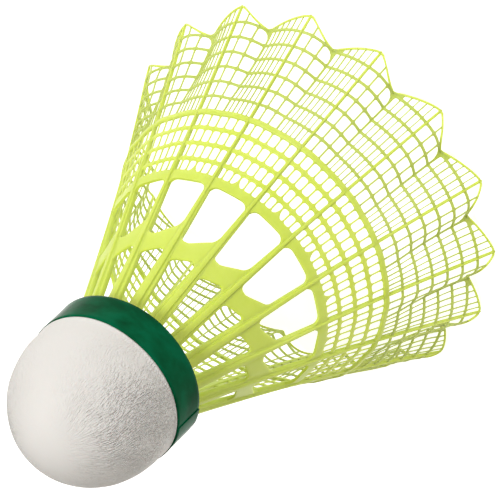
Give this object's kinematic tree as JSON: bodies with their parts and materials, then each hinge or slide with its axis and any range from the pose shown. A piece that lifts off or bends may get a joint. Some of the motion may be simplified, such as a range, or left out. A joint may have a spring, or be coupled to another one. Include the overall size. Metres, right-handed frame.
{
  "type": "badminton shuttlecock",
  "caption": "Synthetic badminton shuttlecock: domed leather-covered cork head with a tape band, and a flared moulded net skirt on straight ribs with a pleated, scalloped rim.",
  "frame": {"origin": "centre of the circle through the skirt's rib tips, on the plane that the tips stand on", "axes": "+Z along the axis of revolution, from the open rim of the skirt towards the domed head; +X through one rib tip"},
  "size_m": [0.0666, 0.0666, 0.0773],
  "materials": {
    "cork": "natural granulated cork",
    "leather": "off-white synthetic leather, fine wrinkled grain, matt",
    "tape": "glossy dark green adhesive tape",
    "nylon": "translucent fluorescent yellow-green nylon, semi-gloss"
  },
  "bodies": {
    "root": {"cork_core": "cork", "leather_cover": "leather", "band_tape": "tape", "skirt_plug": "nylon", "skirt_collar": "nylon", "ribs": "nylon", "lower_web": "nylon", "upper_web_ring": "nylon", "net_inner": "nylon", "thick_hoop": "nylon", "net_outer": "nylon", "rim_edge": "nylon"}
  },
  "joints": []
}
